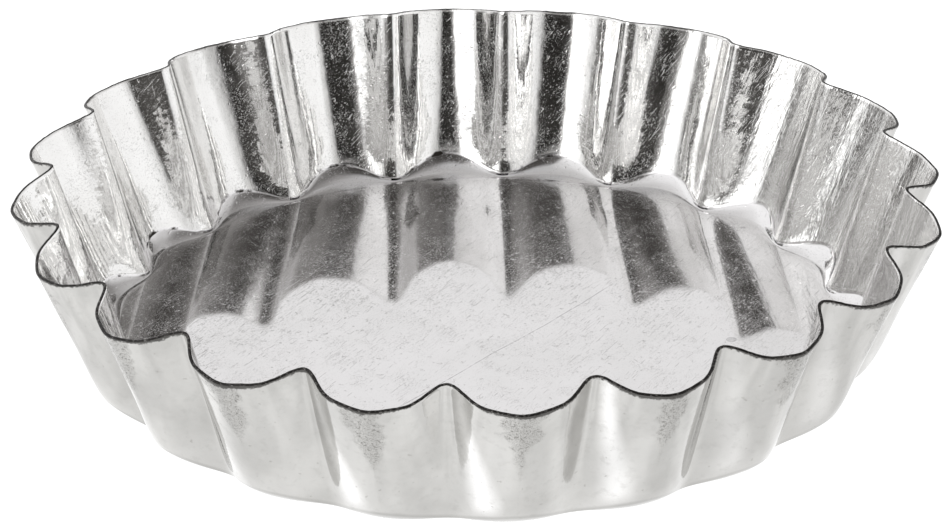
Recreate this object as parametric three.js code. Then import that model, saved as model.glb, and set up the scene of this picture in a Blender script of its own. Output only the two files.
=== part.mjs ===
// Fluted tartlet pan, pressed in one piece from a round blank of bright tinplate.
//
// The sheet is described by its middle surface. Going outwards from the centre it has a flat base,
// a short toe that curves up, a crease where the toe meets the wall, and a flared wall that ends in
// a plain cut rim. Twenty flutes run up the wall: wide bulges outwards, with narrow ridges between
// them that point inwards. The press has drawn more metal into the bulges than into the ridges, so
// the untrimmed rim is a little lower at each bulge.
//
// Millimetres, +Z up. The origin is the centre of the underside of the base, and a bulge lies on
// the +X axis.

import * as THREE from 'three';
import { mergeVertices } from 'three/addons/utils/BufferGeometryUtils.js';

// Driving dimensions. Radii and heights are those of the middle of the sheet.
const SHEET = 0.35;              // thickness of the tinplate
const FLUTES = 20;
const BASE_RADIUS = 39.5;        // edge of the flat base
const RIDGE_FOOT_RADIUS = 40;    // crease, on an inward ridge
const RIDGE_FOOT_RISE = 0.2;     // height of the crease above the base there
const FOOT_FLUTE_DEPTH = 2.9;    // how much further out the crease lies in a bulge
const FOOT_FLUTE_RISE = 1.5;     // and how much higher
const RIM_RIDGE_RADIUS = 45.85;
const RIM_FLUTE_DEPTH = 4;
const RIM_HEIGHT = 18.8;         // rim above the base, on a ridge
const RIM_DROP = 1.5;            // how much lower the rim is in a bulge

// How far a flute's plan differs from one plain cosine wave: "fullness" widens the bulge, and
// "crispness" narrows the ridge.
const FOOT_FLUTE = { fullness: 0.11, crispness: 0.02 };
const RIM_FLUTE = { fullness: 0.23, crispness: 0.13 };

// Facets
const STEPS_PER_FLUTE = 12;
const TOE_STEPS = 3;
const WALL_STEPS = 2;

const TINPLATE = { color: 0xcfcdc9, roughness: 0.28, metalness: 1 };

// One flute across its width: 0 on the ridges at turn = 0 and 1, and 1 in the middle of the bulge.
function flute(turn, { fullness, crispness }) {
  const lobe = (order) => (1 - Math.cos(2 * Math.PI * order * turn)) / 2;
  return (1 - crispness) * lobe(1) + fullness * lobe(2) + crispness * lobe(3);
}

// The middle surface cut at one azimuth: points (radius, height) from the centre out to the rim.
function section(azimuth) {
  const turn = (azimuth * FLUTES) / (2 * Math.PI) + 0.5;
  const foot = flute(turn, FOOT_FLUTE);
  const top = flute(turn, RIM_FLUTE);
  const baseEdge = new THREE.Vector2(BASE_RADIUS, 0);
  const crease = new THREE.Vector2(
    RIDGE_FOOT_RADIUS + FOOT_FLUTE_DEPTH * foot, RIDGE_FOOT_RISE + FOOT_FLUTE_RISE * foot);
  const rim = new THREE.Vector2(
    RIM_RIDGE_RADIUS + RIM_FLUTE_DEPTH * top, RIM_HEIGHT - RIM_DROP * top);

  const points = [new THREE.Vector2(0, 0), baseEdge];
  for (let i = 1; i <= TOE_STEPS; i++) {
    const t = i / TOE_STEPS;
    points.push(new THREE.Vector2(
      THREE.MathUtils.lerp(baseEdge.x, crease.x, t), crease.y * t * t));
  }
  for (let i = 1; i <= WALL_STEPS; i++) {
    points.push(new THREE.Vector2().lerpVectors(crease, rim, i / WALL_STEPS));
  }
  return points;
}

// A point of the middle surface, with the underside of the base at height 0.
function middlePoint(station, azimuth) {
  const { x: radius, y: height } = section(azimuth)[station];
  return new THREE.Vector3(
    radius * Math.cos(azimuth), radius * Math.sin(azimuth), height + SHEET / 2);
}

// The sheet's normal on its inner side. It is exactly +Z all over the flat base.
function innerNormal(station, azimuth, lastStation) {
  if (station <= 1) return new THREE.Vector3(0, 0, 1);
  const SMALL_ANGLE = 0.002;
  const outwards = middlePoint(Math.min(station + 1, lastStation), azimuth)
    .sub(middlePoint(station - 1, azimuth));
  const around = middlePoint(station, azimuth + SMALL_ANGLE)
    .sub(middlePoint(station, azimuth - SMALL_ANGLE));
  return outwards.cross(around).normalize();
}

// The shell is a lathed closed profile, along the underside from the axis to the rim and back
// along the inner side, whose points are then moved out to the fluted surface.
function panShell() {
  const profile = section(0);
  const last = profile.length - 1;
  const there = profile.map((p) => new THREE.Vector2(p.x, p.y));
  const back = profile.map((p) => new THREE.Vector2(p.x, p.y + SHEET)).reverse();
  const columns = FLUTES * STEPS_PER_FLUTE;
  const lathe = new THREE.LatheGeometry([...there, ...back], columns);
  const position = lathe.getAttribute('position');
  const rows = there.length + back.length;

  for (let column = 0; column <= columns; column++) {
    const azimuth = ((column % columns) / columns) * 2 * Math.PI;
    for (let row = 0; row < rows; row++) {
      const inner = row > last;
      const station = inner ? rows - 1 - row : row;
      const point = middlePoint(station, azimuth)
        .addScaledVector(innerNormal(station, azimuth, last), (inner ? 1 : -1) * SHEET / 2);
      position.setXYZ(column * rows + row, point.x, point.y, point.z);
    }
  }

  lathe.deleteAttribute('normal');
  lathe.deleteAttribute('uv');
  const shell = mergeVertices(lathe);
  shell.computeVertexNormals();
  return shell;
}

const pan = new THREE.Group();
const shell = new THREE.Mesh(panShell(), new THREE.MeshStandardMaterial(TINPLATE));
shell.name = 'pan_shell';
pan.add(shell);

export default pan;
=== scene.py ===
"""A fluted tartlet pan in bright tinplate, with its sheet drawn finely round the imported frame.

The CAD node is a regular, coarsely faceted shell. Here one fine mesh stands for it: the same
section and flutes, with a rounded and slightly burred cut edge, uneven flutes, small dents and a
floor that is not quite flat. Three materials dress it: the food side, the outside and the raw edge.
"""

import math

import bpy
import numpy as np
from mathutils import Matrix, Vector, noise


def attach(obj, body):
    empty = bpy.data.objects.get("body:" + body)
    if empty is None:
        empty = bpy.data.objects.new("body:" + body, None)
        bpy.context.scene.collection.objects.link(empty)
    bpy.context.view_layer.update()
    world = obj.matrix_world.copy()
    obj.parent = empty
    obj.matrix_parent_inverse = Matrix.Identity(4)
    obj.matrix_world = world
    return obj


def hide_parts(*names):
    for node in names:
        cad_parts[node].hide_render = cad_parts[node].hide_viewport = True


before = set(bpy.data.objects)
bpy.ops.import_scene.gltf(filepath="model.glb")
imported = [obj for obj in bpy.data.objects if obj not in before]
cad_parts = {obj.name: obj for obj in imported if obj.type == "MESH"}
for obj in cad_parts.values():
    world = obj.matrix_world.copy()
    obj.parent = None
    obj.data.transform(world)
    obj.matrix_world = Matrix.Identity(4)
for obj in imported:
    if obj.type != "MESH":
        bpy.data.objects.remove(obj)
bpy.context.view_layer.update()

MM = 0.001                    # metres
PAN_NODE = "pan_shell"

# ---------------------------------------------------------------------------------------------
# The pan's section, in millimetres, from the driving sizes of the CAD part
# ---------------------------------------------------------------------------------------------

FLUTES = 20
SHEET = 0.35
BASE_RADIUS = 39.5
RIDGE_FOOT_RADIUS = 40.0
RIDGE_FOOT_RISE = 0.2
FOOT_FLUTE_DEPTH = 2.9
FOOT_FLUTE_RISE = 1.5
RIM_RIDGE_RADIUS = 45.85
RIM_FLUTE_DEPTH = 4.0
RIM_HEIGHT = 18.8
RIM_DROP = 1.5
FOOT_FLUTE = (0.11, 0.02)     # fullness of the bulge, crispness of the ridge
RIM_FLUTE = (0.23, 0.09)      # the crispness is a little less than the CAD part's

# The photograph's view looks along +Y turned by this much about +Z. Directions below that are
# given "in the view" are turned the same way.
VIEW_TURN = math.radians(-4.85)

COLUMNS_PER_FLUTE = 48
COLUMN_CROWDING = 0.45        # columns stand closer at the ridges by this share
TOE_STEPS = 7
WALL_STEPS = 19
WALL_CROWDING = 0.75          # and the wall's rows at the crease and at the rim by this one
EDGE_STEPS = 4
TOE_SWEEP = 2.2               # how late the toe turns up: its height goes with this power
FOOT_FILLET = 3.6             # how much the wall flares out at its very foot, in mm per wall height
FOOT_FILLET_FADE = 8          # power with which that flare fades up the wall
EDGE_ROUND = 0.5              # height of the cut edge's rounding against half the sheet
FOOD_SIDE, OUTSIDE, EDGE = range(3)
FLOOR_RADII = (
    0.0, 1.0, 3.0, 5.5, 8.0, 10.5, 13.0, 15.5, 18.0, 20.5, 23.0, 25.5, 28.0, 31.0, 34.0, 37.0)

# How far single ridges stray at the rim, in mm: round the rim, outwards and upwards. Ridge 0 is the
# one just clockwise of +X seen from above, and they count anticlockwise.
RIDGE_WANDER = {
    4: (-0.3, 0.0, -0.3), 5: (0.0, 0.0, -0.3), 6: (-1.1, -0.2, 0.0), 8: (0.0, 0.1, 0.2),
    9: (-0.2, 0.2, 0.2), 10: (-0.3, 0.2, 0.2), 11: (-0.1, -0.4, 0.2), 12: (0.1, -0.6, 0.0),
    14: (0.0, 0.0, -0.25), 15: (0.1, 0.0, -0.4), 16: (0.4, 0.0, -0.3), 18: (-0.1, -0.3, 0.0),
}

# Length and depth of the waves in each kind of unevenness, in mm.
WALL_WAVES = ((9.0, 0.07), (3.5, 0.02))
FLOOR_WAVES = ((13.0, 0.016), (5.0, 0.002))
EDGE_BURR = ((0.5, 0.05), (2.5, 0.06))
WALL_WAVES_START = 0.2        # share of the wall's height over which its dents fade in
FLOOR_WAVES_FADE = 4.0        # distance over which the floor's waves fade out, outside the bow

BASE_BOW = 0.5                # the wall's foot stands this far above the base's middle
BOW_START = 8.0
BOW_END = 38.0


def flute(turn, shape):
    """One flute across its width: 0 on the ridges at whole turns, 1 in the middle of the bulge."""
    fullness, crispness = shape
    lobe = [(1 - np.cos(2 * np.pi * order * turn)) / 2 for order in (1, 2, 3)]
    return (1 - crispness) * lobe[0] + fullness * lobe[1] + crispness * lobe[2]


def smooth(x):
    """A soft step from 0 to 1."""
    x = np.clip(x, 0.0, 1.0)
    return x * x * (3 - 2 * x)


def unevenness(points, waves):
    """Smooth random relief at each point, from waves of (length, depth) in mm."""
    flat = points.reshape(-1, 3)
    height = np.zeros(len(flat))
    for length, depth in waves:
        height += [depth * noise.noise(Vector(p)) for p in flat / length]
    return height.reshape(points.shape[:-1])


def ridge_wander(turn):
    """The strayed ridges' shift at each column, easing off to nothing at the next ridge."""
    shift = np.zeros((3, len(turn)))
    for ridge, amounts in RIDGE_WANDER.items():
        away = np.abs((turn - ridge + FLUTES / 2) % FLUTES - FLUTES / 2)
        shift += np.outer(amounts, smooth(1 - away))
    return shift


# What the mesh tells the materials at each point: the share of the wall's height, how far the
# point is from the middle of a bulge (0) to a ridge (1), which flank it is on (+1 just anticlockwise
# of a ridge, -1 just clockwise), and whether it is on the crease.
GUIDES = ("up", "side", "flank", "crease")
UP, SIDE, FLANK, CREASE = range(len(GUIDES))


def wall_shares():
    """Heights up the wall from 0 to 1, closer together at the crease and at the rim."""
    even = np.linspace(0.0, 1.0, WALL_STEPS + 1)[1:]
    return even + WALL_CROWDING * even * (1 - even) * (2 * even - 1)


def column_azimuths():
    """Columns crowd together towards the ridges, where the sheet bends most."""
    turn = np.arange(FLUTES * COLUMNS_PER_FLUTE) / COLUMNS_PER_FLUTE
    crowded = turn - COLUMN_CROWDING * np.sin(2 * np.pi * turn) / (2 * np.pi)
    return (crowded - 0.5) * 2 * np.pi / FLUTES


def middle_surface():
    """The middle of the sheet as (station, column, xyz) in mm, from the centre out to the rim.

    Also the guides for the materials, see GUIDES.
    """
    azimuth = column_azimuths()
    turn = azimuth * FLUTES / (2 * np.pi) + 0.5
    foot = flute(turn, FOOT_FLUTE)
    top = flute(turn, RIM_FLUTE)
    around, outwards, upwards = ridge_wander(turn)
    crease_r = RIDGE_FOOT_RADIUS + FOOT_FLUTE_DEPTH * foot
    crease_z = RIDGE_FOOT_RISE + FOOT_FLUTE_RISE * foot
    rim_r = RIM_RIDGE_RADIUS + RIM_FLUTE_DEPTH * top + outwards
    rim_z = RIM_HEIGHT - RIM_DROP * top + upwards
    rim_azimuth = azimuth + around / RIM_RIDGE_RADIUS

    rows = [(radius + 0 * azimuth, 0 * azimuth, 0.0) for radius in FLOOR_RADII]
    for t in smooth(np.linspace(0.0, 1.0, TOE_STEPS + 1)):
        rows.append((BASE_RADIUS + (crease_r - BASE_RADIUS) * t, crease_z * t ** TOE_SWEEP, 0.0))
    for share in wall_shares():
        fillet = FOOT_FILLET * share * (1 - share) ** FOOT_FILLET_FADE
        radius = crease_r + (rim_r - crease_r) * share + fillet
        rows.append((radius, crease_z + (rim_z - crease_z) * share, share))

    points = np.zeros((len(rows), len(azimuth), 3))
    guides = np.zeros((len(rows), len(azimuth), len(GUIDES)))
    for i, (radius, height, share) in enumerate(rows):
        heading = azimuth + (rim_azimuth - azimuth) * share
        points[i, :, 0] = radius * np.cos(heading)
        points[i, :, 1] = radius * np.sin(heading)
        points[i, :, 2] = height + SHEET / 2
        guides[i, :, UP] = share
    guides[:, :, SIDE] = np.abs(2 * (turn % 1.0) - 1)
    guides[:, :, FLANK] = np.sin(2 * np.pi * turn)
    crease_row = len(FLOOR_RADII) + TOE_STEPS
    guides[crease_row, :, CREASE] = 1.0
    return points, guides


def grid_normals(points):
    """Unit normals on the food side of a (station, column) grid that closes round in its columns."""
    along = np.gradient(points, axis=0)
    around = np.roll(points, -1, axis=1) - np.roll(points, 1, axis=1)
    normal = np.cross(along, around)
    normal[0] = (0.0, 0.0, 1.0)
    return normal / np.linalg.norm(normal, axis=2, keepdims=True)


def press_unevenly(points, up):
    """Dents in the walls, a burred edge, and a base that waves a little and bows down in its middle."""
    normal = grid_normals(points)
    radius = np.linalg.norm(points[..., :2], axis=2)
    dents = unevenness(points, WALL_WAVES) * smooth(up / WALL_WAVES_START)
    waves = unevenness(points, FLOOR_WAVES) * (1 - smooth((radius - BOW_END) / FLOOR_WAVES_FADE))
    points += normal * (dents + waves)[..., None]
    points[..., 2] += BASE_BOW * smooth((radius - BOW_START) / (BOW_END - BOW_START))
    points[-1, :, 2] += unevenness(points[-1], EDGE_BURR)


def pressed_sheet():
    """The closed shell: underside, cut edge and food side, as one mesh with three materials."""
    middle, guides = middle_surface()
    press_unevenly(middle, guides[:, :, UP])
    normal = grid_normals(middle)
    stations, columns = middle.shape[:2]
    half = SHEET / 2
    under = middle - half * normal
    inner = middle + half * normal

    # The cut edge is a low rounded strip across the sheet's thickness.
    rim_up = middle[-1] - middle[-2]
    rim_up /= np.linalg.norm(rim_up, axis=1, keepdims=True)
    edge = []
    for i in range(1, EDGE_STEPS):
        angle = math.pi * i / EDGE_STEPS
        offset = -math.cos(angle) * half * normal[-1] + math.sin(angle) * half * EDGE_ROUND * rim_up
        edge.append(middle[-1] + offset)

    # Rows run from the underside's centre out to the rim and back to the food side's centre. Both
    # centres are single points, added at the end.
    outwards = range(1, stations)
    inwards = range(stations - 1, 0, -1)
    rows = [under[i] for i in outwards] + edge + [inner[i] for i in inwards]
    row_guides = [guides[i] for i in outwards] + [guides[-1]] * len(edge) + [guides[i] for i in inwards]
    points = np.concatenate([*rows, under[0][:1], inner[0][:1]]) * MM
    point_guides = np.concatenate([*row_guides, guides[0][:1], guides[0][:1]])

    edge_from = stations - 2
    edge_to = edge_from + EDGE_STEPS
    faces, slots = [], []
    for row in range(len(rows) - 1):
        slot = OUTSIDE if row < edge_from else (EDGE if row < edge_to else FOOD_SIDE)
        for column in range(columns):
            a, b = row * columns + column, row * columns + (column + 1) % columns
            faces.append((a, b, b + columns, a + columns))
            slots.append(slot)
    centre_under = len(rows) * columns
    last = centre_under - columns
    for column in range(columns):
        after = (column + 1) % columns
        faces.append((column, centre_under, after))
        faces.append((last + column, last + after, centre_under + 1))
        slots += [OUTSIDE, FOOD_SIDE]

    mesh = bpy.data.meshes.new("pressed_sheet")
    mesh.from_pydata(points.tolist(), [], faces)
    mesh.polygons.foreach_set("material_index", slots)
    mesh.polygons.foreach_set("use_smooth", [True] * len(faces))
    for i, name in enumerate(GUIDES):
        layer = mesh.attributes.new(name, "FLOAT", "POINT")
        layer.data.foreach_set("value", point_guides[:, i].astype(np.float32))
    mesh.update()
    return mesh


# ---------------------------------------------------------------------------------------------
# Materials
# ---------------------------------------------------------------------------------------------

class Tree:
    """Short names for making shader nodes. A socket or a plain value can feed any input."""

    def __init__(self, owner):
        owner.use_nodes = True
        self.tree = owner.node_tree
        self.tree.nodes.clear()

    def node(self, kind, settings=None, **inputs):
        """A node with these settings and inputs. An input's name has _ for each space."""
        made = self.tree.nodes.new(kind)
        for key, value in (settings or {}).items():
            setattr(made, key, value)
        for key, value in inputs.items():
            self.feed(made.inputs[key.replace("_", " ")], value)
        return made

    def feed(self, socket, value):
        if isinstance(value, bpy.types.NodeSocket):
            self.tree.links.new(value, socket)
        else:
            socket.default_value = value

    def math(self, operation, a, b=0.0, c=0.0):
        made = self.tree.nodes.new("ShaderNodeMath")
        made.operation = operation
        for socket, value in zip(made.inputs, (a, b, c)):
            self.feed(socket, value)
        return made.outputs[0]

    def vector(self, operation, a, b=(0.0, 0.0, 0.0), scale=None):
        made = self.tree.nodes.new("ShaderNodeVectorMath")
        made.operation = operation
        self.feed(made.inputs[0], a)
        if scale is None:
            self.feed(made.inputs[1], b)
        else:
            self.feed(made.inputs["Scale"], scale)
        return made.outputs[0]

    def turned(self, vector, angle):
        made = self.node(
            "ShaderNodeVectorRotate", {"rotation_type": "Z_AXIS"}, Vector=vector, Angle=angle)
        return made.outputs[0]

    def noise(self, vector, scale, detail=2.0, roughness=0.5):
        made = self.node(
            "ShaderNodeTexNoise", Vector=vector, Scale=scale, Detail=detail, Roughness=roughness)
        return made.outputs[0]

    def ramp(self, value, low, high, to_low=0.0, to_high=1.0):
        """value taken smoothly from low..high to to_low..to_high."""
        made = self.tree.nodes.new("ShaderNodeMapRange")
        made.interpolation_type = "SMOOTHSTEP"
        for socket, v in zip(made.inputs, (value, low, high, to_low, to_high)):
            self.feed(socket, v)
        return made.outputs[0]

    def mix(self, share, a, b):
        """Colour a, taken towards colour b by share. Inputs 6 and 7 and output 2 are for colours."""
        made = self.tree.nodes.new("ShaderNodeMix")
        made.data_type = "RGBA"
        for socket, value in ((0, share), (6, a), (7, b)):
            self.feed(made.inputs[socket], value)
        return made.outputs[2]

    def tint(self, tone, share, mark):
        """A tone with one kind of mark over it, given as how strongly it tints and its colour."""
        strength, colour = mark
        return self.mix(self.math("MULTIPLY", share, strength), tone, colour)

    def guide(self, name):
        return self.node("ShaderNodeAttribute", {"attribute_name": name}).outputs["Fac"]

    def bump(self, height, depth, normal=None):
        """height from 0 to 1 stands for a real relief of this depth, in mm."""
        made = self.node("ShaderNodeBump", Strength=1.0, Distance=depth * MM, Height=height)
        if normal is not None:
            self.feed(made.inputs["Normal"], normal)
        return made.outputs[0]

    def streaks(self, place, turn, tilt, length, width, detail=1.0):
        """Noise drawn out along one direction: turned about +Z, then tilted up, in degrees."""
        aimed = self.node(
            "ShaderNodeVectorRotate", {"rotation_type": "EULER_XYZ", "invert": True}, Vector=place,
            Rotation=(0.0, math.radians(-tilt), math.radians(turn)))
        drawn = self.vector("MULTIPLY", aimed.outputs[0], (1 / length, 1 / width, 1 / width))
        return self.noise(drawn, 1.0, detail)

    def most(self, *values):
        """The largest of several values at each point."""
        top = values[0]
        for value in values[1:]:
            top = self.math("MAXIMUM", top, value)
        return top


def rgb(r, g, b):
    return (r, g, b, 1.0)


def millimetres(t):
    """Position on the pan in millimetres."""
    place = t.node("ShaderNodeTexCoord").outputs["Object"]
    return t.vector("SCALE", place, scale=1 / MM)


def to_the_right(t, place):
    """How far a point is towards +X, in millimetres."""
    return t.node("ShaderNodeSeparateXYZ", Vector=place).outputs[0]


def up_the_wall(t, place, width, length):
    """Noise in lines that run straight up the wall at every flute."""
    flat = t.vector("NORMALIZE", t.vector("MULTIPLY", place, (1.0, 1.0, 0.0)))
    round_the_rim = t.vector("SCALE", flat, scale=RIM_RIDGE_RADIUS / width)
    height = t.vector("MULTIPLY", place, (0.0, 0.0, 1 / length))
    return t.noise(t.vector("ADD", round_the_rim, height), 1.0, 2.0)


# Streaks: turn about +Z and tilt in degrees, length and width in mm, and detail where it isn't 1.
ROLLING = 56.0
ROLLED_STREAKS = (ROLLING, 0.0, 5.0, 0.13, 2.0)
ROLLED_DASHES = (ROLLING, 0.0, 1.6, 0.09, 0.0)
SCRATCHES = (
    (50.0, 0.0, 5.0, 0.10), (20.0, 55.0, 2.5, 0.08), (110.0, 50.0, 2.5, 0.08), (-30.0, 35.0, 4.0, 0.07))
WALL_SCRATCHES = SCRATCHES[1:]
HAIRLINES = (12.0, 46.0, 6.0, 0.055)
BATTERING = (18.0, 68.0, 2.2, 0.42, 3.0)
HATCHING = ((0.0, 72.0, 1.6, 0.07, 2.0), (60.0, 60.0, 1.6, 0.07, 2.0))

# Lines that run up the wall: width and length in mm.
DRAW_LINES = (0.22, 9.0)
LONG_LINES = (0.8, 70.0)
OUTSIDE_DRAW_LINES = (0.5, 14.0)

# Noises: scale per mm, then detail and roughness.
WORN_PATCHES = (0.30, 3.0, 0.6)
SPECKS = (5.0, 1.0)
FLECKS = (1.5, 1.0)
GRAIN = (2.2, 2.0, 0.6)
SMUDGES = (0.45, 4.0, 0.65)
CLOUDS = (0.09, 4.0, 0.6)
GRIT = (3.2, 3.0, 0.7)
PITS = (1.6, 1.0)
RUBBING = (0.12, 4.0, 0.6)
MOTTLING = (0.9, 4.0, 0.65)
RAGGED_EDGE = (2.2, 3.0, 0.7)
STEEL_SPECKLE = (3.0, 3.0, 0.7)

# Depths of the relief that only the bump shows, in mm.
BATTERED_DEPTH = 0.11
DRAW_LINE_DEPTH = 0.007
WALL_DENT_DEPTH = 0.045
ROLLED_DEPTH = 0.0009
MARK_DEPTH = 0.008
HAIRLINE_DEPTH = 0.006
GRAIN_DEPTH = 0.010
FLECK_DEPTH = 0.018
OUTSIDE_DRAW_LINE_DEPTH = 0.003
OUTSIDE_DENT_DEPTH = 0.05
SCUFF_DEPTH = 0.006
OUTSIDE_SCRATCH_DEPTH = 0.001
STEEL_DEPTH = 0.02

# Bright tin where it is clear and where it is clouded, and the marks on it: how strongly each kind
# tints the tin, and its colour.
FLOOR_TIN = (rgb(0.885, 0.873, 0.880), rgb(0.850, 0.840, 0.843))
WALL_TIN = (rgb(0.885, 0.880, 0.872), rgb(0.830, 0.822, 0.810))
HANDLING_MARK = (0.12, rgb(0.60, 0.59, 0.58))
ROLLING_DASH = (0.5, rgb(0.42, 0.41, 0.41))
FLOOR_MARK = rgb(0.35, 0.34, 0.35)
CREASE_DIRT_AND_SHADE = rgb(0.05, 0.045, 0.04)

# The same for the dull outside, with the colours of its painted highlights and painted shade.
RUBBED_TIN = (rgb(0.555, 0.550, 0.535), rgb(0.485, 0.480, 0.465))
FLANK_PAINTED_SHEEN_TIN = rgb(0.75, 0.745, 0.735)
RIGHT_HAND_PAINTED_SHADE_TIN = rgb(0.43, 0.425, 0.41)
PAINTED_HIGHLIGHT_TIN = rgb(0.96, 0.955, 0.95)
FOOT_PAINTED_SHADE_TIN = rgb(0.33, 0.325, 0.315)
MOTTLE = (0.20, rgb(0.36, 0.355, 0.34))
SCUFFED_PATCH = (0.25, rgb(0.40, 0.395, 0.38))
SCUFF = (0.90, rgb(0.16, 0.155, 0.145))
PIT = (0.35, rgb(0.30, 0.29, 0.27))
SMEAR = (0.88, rgb(0.05, 0.047, 0.044))

SHEARED_STEEL = (rgb(0.022, 0.020, 0.019), rgb(0.26, 0.25, 0.24))


def finish(t, **shader_inputs):
    shader = t.node("ShaderNodeBsdfPrincipled", **shader_inputs)
    t.node("ShaderNodeOutputMaterial", Surface=shader.outputs[0])


# One long scratch crosses the floor, and a drop has dried on it. Millimetres from the pan's axis.
LONG_SCRATCH_HEADING = 45.5
LONG_SCRATCH_OFFSET = -3.6
LONG_SCRATCH_HALF_LENGTH = 20.0
LONG_SCRATCH_FADE = 4.0
DRIED_DROP = (27.2, -3.9, 0.0)
DRIED_DROP_RADIUS = 0.5
DRIED_DROP_RING = 0.16


def floor_marks(t, place):
    """Shares of the one long scratch and of the dried drop at each point of the floor."""
    along, across, _ = t.node(
        "ShaderNodeSeparateXYZ", Vector=t.turned(place, -math.radians(LONG_SCRATCH_HEADING))).outputs
    wander = t.math("ADD", t.noise(place, 0.06), LONG_SCRATCH_OFFSET - 0.5)
    line = t.ramp(t.math("ABSOLUTE", t.math("SUBTRACT", across, wander)), 0.02, 0.06, 1.0, 0.0)
    full_length = LONG_SCRATCH_HALF_LENGTH - LONG_SCRATCH_FADE
    within = t.ramp(t.math("ABSOLUTE", along), full_length, LONG_SCRATCH_HALF_LENGTH, 1.0, 0.0)
    broken = t.ramp(t.noise(place, 1.2, 1.0), 0.3, 0.6, 0.35, 0.9)
    scratch = t.math("MULTIPLY", t.math("MULTIPLY", line, within), broken)

    offset = t.vector("SUBTRACT", t.vector("MULTIPLY", place, (1.0, 1.0, 0.0)), DRIED_DROP)
    distance = t.node("ShaderNodeVectorMath", {"operation": "LENGTH"}, Vector=offset).outputs["Value"]
    from_ring = t.math("ABSOLUTE", t.math("SUBTRACT", distance, DRIED_DROP_RADIUS))
    ring = t.ramp(from_ring, 0.0, DRIED_DROP_RING, 0.5, 0.0)
    inside = t.ramp(distance, DRIED_DROP_RADIUS, DRIED_DROP_RADIUS + 0.1, 0.35, 0.0)
    return scratch, t.most(ring, inside)


def food_side():
    """Bright tin: a mirror with handling scratches, specks, draw lines, and dirt with painted shade in
    the crease.
    """
    material = bpy.data.materials.new("tin_food_side")
    t = Tree(material)
    place = millimetres(t)
    up = t.guide("up")
    side = t.guide("side")
    wall = t.ramp(up, 0.0, 0.03)
    floor = t.math("SUBTRACT", 1.0, wall)
    flank = t.ramp(side, 0.25, 0.8)
    rightwards = to_the_right(t, place)

    worn = t.ramp(t.noise(place, *WORN_PATCHES), 0.40, 0.66)
    scratches = t.most(*[t.ramp(t.streaks(place, *family), 0.69, 0.77) for family in SCRATCHES])
    specks = t.ramp(t.noise(place, *SPECKS), 0.62, 0.72)
    marks = t.math("MULTIPLY", t.most(scratches, specks), t.ramp(worn, 0.0, 1.0, 0.25, 1.0))
    hairlines = t.math("MULTIPLY", t.ramp(t.streaks(place, *HAIRLINES), 0.68, 0.77), wall)
    flecks = t.ramp(t.noise(place, *FLECKS), 0.69, 0.76)
    drawn = t.math("MULTIPLY", wall, t.math("MULTIPLY_ADD", flank, 0.7, 0.3))
    draw_lines = t.math("MULTIPLY", up_the_wall(t, place, *DRAW_LINES), drawn)
    grain = t.math("MULTIPLY", t.noise(place, *GRAIN), t.math("MULTIPLY", worn, wall))
    rolled = t.math("MULTIPLY", t.streaks(place, *ROLLED_STREAKS), floor)
    dashes = t.math("MULTIPLY", floor, t.ramp(t.streaks(place, *ROLLED_DASHES), 0.75, 0.82))
    long_scratch, stain = floor_marks(t, place)
    floor_lines = t.math("MULTIPLY", t.most(long_scratch, stain), floor)

    # The wall's flutes around +X have been knocked about more than the others.
    battered = t.math("MULTIPLY", t.streaks(place, *BATTERING), wall)
    battered = t.math("MULTIPLY", battered, t.ramp(rightwards, 30.0, 40.0))

    normal = t.bump(battered, BATTERED_DEPTH)
    normal = t.bump(draw_lines, DRAW_LINE_DEPTH, normal)
    normal = t.bump(t.math("MULTIPLY", t.noise(place, 0.45), wall), WALL_DENT_DEPTH, normal)
    normal = t.bump(rolled, ROLLED_DEPTH, normal)
    normal = t.bump(t.most(marks, t.math("MULTIPLY", dashes, 0.4)), MARK_DEPTH, normal)
    normal = t.bump(hairlines, HAIRLINE_DEPTH, normal)
    normal = t.bump(grain, GRAIN_DEPTH, normal)
    normal = t.bump(flecks, FLECK_DEPTH, normal)

    # Dark smudges along the crease, partly dirt and partly painted shade, in the bulges more than at
    # the ridges and more just clockwise of each ridge. They creep a little way up the wall, and fade
    # out towards +X.
    foot = t.math("MULTIPLY", t.ramp(up, 0.0, 0.003), t.ramp(up, 0.003, 0.06, 0.9, 0.0))
    smudges = t.math("MULTIPLY_ADD", side, -0.12, t.noise(place, *SMUDGES))
    smudges = t.math("MULTIPLY_ADD", t.guide("flank"), -0.06, smudges)
    smudges = t.math("MULTIPLY_ADD", t.most(t.guide("crease"), foot), 0.45, smudges)
    dirt_and_shade = t.math("MULTIPLY", t.ramp(smudges, 0.86, 0.99), t.ramp(rightwards, 12.0, 28.0, 1.0, 0.0))

    clouded = t.ramp(t.noise(place, *CLOUDS), 0.4, 0.7)
    tone = t.mix(wall, t.mix(clouded, *FLOOR_TIN), t.mix(clouded, *WALL_TIN))
    tone = t.tint(tone, marks, HANDLING_MARK)
    tone = t.tint(tone, dashes, ROLLING_DASH)
    tone = t.mix(floor_lines, tone, FLOOR_MARK)
    # Dirt and painted shade in the crease.
    tone = t.mix(dirt_and_shade, tone, CREASE_DIRT_AND_SHADE)
    rough = t.math("MULTIPLY_ADD", t.most(marks, hairlines), 0.20, t.ramp(worn, 0.0, 1.0, 0.03, 0.055))
    rough = t.math("MULTIPLY_ADD", dirt_and_shade, 0.4, rough)
    finish(t, Base_Color=tone, Metallic=1.0, Roughness=rough, Normal=normal)
    return material


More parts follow.
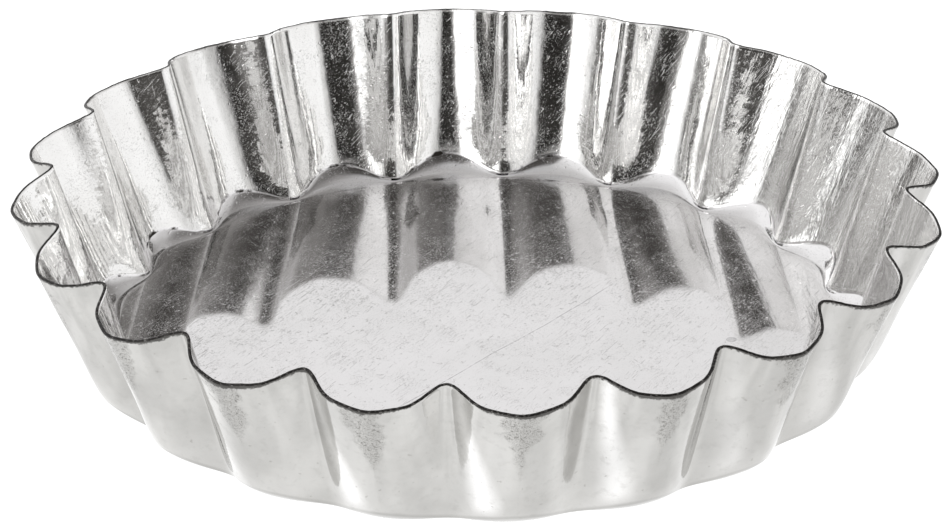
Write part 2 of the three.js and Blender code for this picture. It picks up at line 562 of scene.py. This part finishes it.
def outside():
    """The same tin rubbed dull, with hatched scuffs that taper down the middle of each bulge, and
    painted highlights and painted shade in its tone.
    """
    material = bpy.data.materials.new("tin_outside")
    t = Tree(material)
    place = millimetres(t)
    up = t.guide("up")
    side = t.guide("side")
    rightwards = to_the_right(t, place)

    patchy = t.noise(place, *WORN_PATCHES)
    reach = t.math("MULTIPLY", t.ramp(up, 0.30, 0.95, 0.0, 0.36), t.ramp(patchy, 0.3, 0.7, 0.4, 1.2))
    within = t.ramp(t.math("SUBTRACT", side, reach), -0.12, 0.02, 1.0, 0.0)
    hatching = t.most(*[t.ramp(t.streaks(place, *family), 0.52, 0.70) for family in HATCHING])
    grit = t.ramp(t.noise(place, *GRIT), 0.52, 0.66)
    scuff = t.math("MULTIPLY", within, t.most(hatching, grit))
    scratches = t.most(*[t.ramp(t.streaks(place, *family), 0.71, 0.79) for family in WALL_SCRATCHES])
    long_lines = t.ramp(up_the_wall(t, place, *LONG_LINES), 0.735, 0.765)
    pits = t.ramp(t.noise(place, *PITS), 0.73, 0.78)
    rubbed = t.noise(place, *RUBBING)
    mottled = t.ramp(t.noise(place, *MOTTLING), 0.50, 0.72)

    # The shears left a ragged dark smear under the cut edge, widest where the edge bulges.
    ragged = t.math("MULTIPLY_ADD", t.noise(place, *RAGGED_EDGE), 0.05, up)
    ragged = t.math("MULTIPLY_ADD", t.noise(place, 0.12), 0.05, ragged)
    ragged = t.math("MULTIPLY_ADD", side, -0.022, ragged)
    smear = t.ramp(ragged, 1.018, 1.032)

    # Painted highlight: a bright band is painted on the anticlockwise flank of every ridge, standing in
    # for the sheen that light gives there. It starts a little way above the foot, and is fainter
    # towards +X.
    from_ridge = t.math("MULTIPLY_ADD", side, -0.5, 0.5)
    off_band = t.math("ABSOLUTE", t.math("SUBTRACT", from_ridge, t.ramp(up, 0.0, 1.0, 0.27, 0.10)))
    painted_highlight = t.math("SUBTRACT", 1.0, t.math("DIVIDE", off_band, t.ramp(up, 0.0, 1.0, 0.17, 0.065)))
    painted_highlight = t.math("MULTIPLY", t.ramp(painted_highlight, 0.0, 1.0), t.ramp(t.guide("flank"), 0.0, 0.2))
    painted_highlight = t.math("MULTIPLY", painted_highlight, t.ramp(t.noise(place, 0.07), 0.38, 0.56, 0.7, 1.0))
    painted_highlight = t.math("MULTIPLY", painted_highlight, t.ramp(up, 0.0, 0.14, 0.2, 1.0))
    painted_highlight = t.math("MULTIPLY", painted_highlight, t.ramp(rightwards, 2.0, 20.0, 1.0, 0.25))

    normal = t.bump(up_the_wall(t, place, *OUTSIDE_DRAW_LINES), OUTSIDE_DRAW_LINE_DEPTH)
    normal = t.bump(t.noise(place, 0.35), OUTSIDE_DENT_DEPTH, normal)
    normal = t.bump(scuff, SCUFF_DEPTH, normal)
    normal = t.bump(scratches, OUTSIDE_SCRATCH_DEPTH, normal)

    tone = t.mix(t.ramp(rubbed, 0.35, 0.7), *RUBBED_TIN)
    # Painted sheen: the anticlockwise flank of each ridge is painted lighter, as light falls brighter
    # on that side.
    tone = t.mix(t.ramp(t.guide("flank"), -0.2, 0.8, 0.0, 0.22), tone, FLANK_PAINTED_SHEEN_TIN)
    # Painted shade: the outside is painted greyer towards +X.
    tone = t.mix(t.ramp(rightwards, 5.0, 32.0, 0.0, 0.5), tone, RIGHT_HAND_PAINTED_SHADE_TIN)
    # Painted highlight: the bright band beside each ridge.
    tone = t.mix(painted_highlight, tone, PAINTED_HIGHLIGHT_TIN)
    # Painted shade: the underside and the foot of the wall are painted darker, where the outside meets
    # the floor.
    tone = t.mix(t.ramp(up, 0.0, 0.035, 0.55, 0.0), tone, FOOT_PAINTED_SHADE_TIN)
    tone = t.tint(tone, mottled, MOTTLE)
    tone = t.tint(tone, within, SCUFFED_PATCH)
    tone = t.tint(tone, scuff, SCUFF)
    tone = t.tint(tone, t.most(pits, long_lines), PIT)
    tone = t.tint(tone, smear, SMEAR)
    rough = t.ramp(rubbed, 0.3, 0.7, 0.06, 0.11)
    rough = t.math("MULTIPLY_ADD", t.most(scuff, scratches, smear), 0.12, rough)
    finish(t, Base_Color=tone, Metallic=1.0, Roughness=rough, Normal=normal)
    return material


def cut_edge():
    """Bare sheared steel, darkened and speckled."""
    material = bpy.data.materials.new("cut_edge")
    t = Tree(material)
    place = millimetres(t)
    speckle = t.noise(place, *STEEL_SPECKLE)
    tone = t.mix(t.ramp(speckle, 0.48, 0.75), *SHEARED_STEEL)
    rough = t.ramp(speckle, 0.3, 0.8, 0.35, 0.6)
    normal = t.bump(t.noise(place, 7.0, 2.0, 0.6), STEEL_DEPTH)
    finish(t, Base_Color=tone, Metallic=0.7, Roughness=rough, Normal=normal)
    return material


# ---------------------------------------------------------------------------------------------
# Studio: floor, light and camera
# ---------------------------------------------------------------------------------------------

# What the metal mirrors, as rings of light at six elevations in degrees. Each ring is a list of
# (heading, light), where heading 0 is towards the camera, 90 is to its right and 180 is behind the
# pan. There is a strong soft box to the left, a white card to the right that ends at about 45
# degrees, and a dark room in front between them. Low down there are two more dark gaps: on the left
# behind the soft box, and at the back on the right.
LIGHT_RINGS = (
    (6.0, (
        (-180, 0.92), (-112, 0.98), (-98, 0.26), (-87, 0.10), (-77, 0.10), (-66, 0.80), (-56, 1.05),
        (-46, 0.75), (-34, 0.20), (0, 0.08), (26, 0.08), (40, 0.95), (60, 1.08), (125, 1.02),
        (142, 0.25), (163, 0.20), (180, 0.80))),
    (22.0, (
        (-180, 0.88), (-115, 1.00), (-97, 0.85), (-82, 0.45), (-68, 1.10), (-56, 2.20), (-31, 2.20),
        (-19, 0.22), (-11, 0.03), (24, 0.02), (38, 0.70), (52, 1.06), (120, 0.85), (140, 0.25),
        (162, 0.20), (174, 0.80), (180, 0.88))),
    (42.0, (
        (-180, 0.82), (-120, 1.00), (-72, 1.10), (-58, 2.00), (-32, 1.60), (-14, 0.55), (24, 0.40),
        (50, 0.72), (110, 0.62), (130, 0.48), (155, 0.52), (180, 0.82))),
    (51.0, (
        (-180, 0.62), (-120, 0.84), (-75, 1.00), (-50, 1.15), (-34, 0.60), (-18, 0.16), (30, 0.12),
        (60, 0.20), (110, 0.20), (140, 0.30), (160, 0.42), (180, 0.62))),
    (60.0, (
        (-180, 0.55), (-130, 0.70), (-75, 0.92), (-48, 0.95), (-34, 0.12), (5, 0.05), (40, 0.06),
        (80, 0.12), (130, 0.30), (180, 0.55))),
    (72.0, (
        (-180, 0.50), (-130, 0.62), (-75, 0.76), (-48, 0.70), (-28, 0.14), (0, 0.08), (35, 0.08),
        (60, 0.14), (100, 0.30), (140, 0.45), (180, 0.50))),
)
WARMTH = 0.02
CEILING_LIGHT = 0.52
CEILING_ELEVATION = 87.0


def room_light(light):
    """A grey of this brightness. The dim part of the room is a little warm."""
    warmth = WARMTH if light < 1 else 0.0
    return rgb(light, light ** (1 + warmth), light ** (1 + 2 * warmth))


def light_ring(t, heading_share, stops):
    """A grey for every heading, eased between the stops."""
    ramp = t.node("ShaderNodeValToRGB", Fac=heading_share)
    ramp.color_ramp.interpolation = "EASE"
    elements = ramp.color_ramp.elements
    while len(elements) < len(stops):
        elements.new(0.5)
    for element, (heading, light) in zip(elements, stops):
        element.position = (heading + 180) / 360
        element.color = room_light(light)
    return ramp.outputs[0]


def studio_world():
    world = bpy.data.worlds.new("studio")
    bpy.context.scene.world = world
    t = Tree(world)
    toward = t.turned(t.node("ShaderNodeTexCoord").outputs["Generated"], -VIEW_TURN)
    x, y, z = t.node("ShaderNodeSeparateXYZ", Vector=toward).outputs
    heading = t.math("ARCTAN2", x, t.math("MULTIPLY", y, -1.0))
    heading_share = t.math("MULTIPLY_ADD", heading, 0.5 / math.pi, 0.5)
    elevation = t.math("MULTIPLY", t.math("ARCSINE", z), 180 / math.pi)

    below, stops = LIGHT_RINGS[0]
    tone = light_ring(t, heading_share, stops)
    for above, stops in LIGHT_RINGS[1:]:
        tone = t.mix(t.ramp(elevation, below, above), tone, light_ring(t, heading_share, stops))
        below = above
    ceiling = rgb(CEILING_LIGHT, CEILING_LIGHT, CEILING_LIGHT)
    tone = t.mix(t.ramp(elevation, below, CEILING_ELEVATION), tone, ceiling)
    background = t.node("ShaderNodeBackground", Color=tone, Strength=1.0)
    t.node("ShaderNodeOutputWorld", Surface=background.outputs[0])


# The floor is lit from below, like a light table, a little unevenly.
FLOOR_LIGHT = 1.03
CLOUD_LIGHT = 0.18
FLOOR_HALF_WIDTH = 3.0        # metres
FLOOR_GAP = 0.02              # mm between the floor and the pan's foot, so that they never coincide


def studio_floor():
    signs = ((-1, -1), (1, -1), (1, 1), (-1, 1))
    corners = [(x * FLOOR_HALF_WIDTH, y * FLOOR_HALF_WIDTH, -FLOOR_GAP * MM) for x, y in signs]
    mesh = bpy.data.meshes.new("floor")
    mesh.from_pydata(corners, [], [(0, 1, 2, 3)])
    floor = bpy.data.objects.new("floor", mesh)
    bpy.context.scene.collection.objects.link(floor)

    material = bpy.data.materials.new("pale_floor")
    t = Tree(material)
    clouds = t.ramp(t.noise(millimetres(t), 0.11), 0.35, 0.65)
    light = t.math("MULTIPLY_ADD", clouds, CLOUD_LIGHT, FLOOR_LIGHT)
    finish(
        t, Base_Color=rgb(0.10, 0.10, 0.10), Roughness=0.8, Emission_Color=rgb(1.0, 1.0, 1.0),
        Emission_Strength=light)
    mesh.materials.append(material)


# Camera, in the view's own directions: it stands back along -Y, and above the pan.
CAMERA_BACK = 442.1
CAMERA_HEIGHT = 230.6 + BASE_BOW
CAMERA_PITCH = 26.63        # degrees below the horizon
CAMERA_ROLL = -0.515
CAMERA_SIDE_TURN = 0.046
CAMERA_LENS = 173.36
CAMERA_SENSOR_WIDTH = 36.0


def camera():
    data = bpy.data.cameras.new("camera")
    data.lens = CAMERA_LENS
    data.sensor_width = CAMERA_SENSOR_WIDTH
    data.clip_start = 0.01
    data.clip_end = 20.0
    made = bpy.data.objects.new("camera", data)
    heading = math.radians(CAMERA_SIDE_TURN) + VIEW_TURN
    place = Matrix.Rotation(VIEW_TURN, 4, "Z") @ Vector((0, -CAMERA_BACK * MM, CAMERA_HEIGHT * MM))
    look = (
        Matrix.Rotation(heading, 4, "Z")
        @ Matrix.Rotation(math.radians(90 - CAMERA_PITCH), 4, "X")
        @ Matrix.Rotation(math.radians(CAMERA_ROLL), 4, "Z"))
    made.matrix_world = Matrix.Translation(place) @ look
    bpy.context.scene.collection.objects.link(made)
    bpy.context.scene.camera = made


# ---------------------------------------------------------------------------------------------
# The scene
# ---------------------------------------------------------------------------------------------

pan = bpy.data.objects.new("pressed_sheet", pressed_sheet())
bpy.context.scene.collection.objects.link(pan)
for make in (food_side, outside, cut_edge):
    pan.data.materials.append(make())
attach(pan, "root")
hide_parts(PAN_NODE)

studio_world()
studio_floor()
camera()
bpy.context.scene.view_settings.view_transform = "Standard"
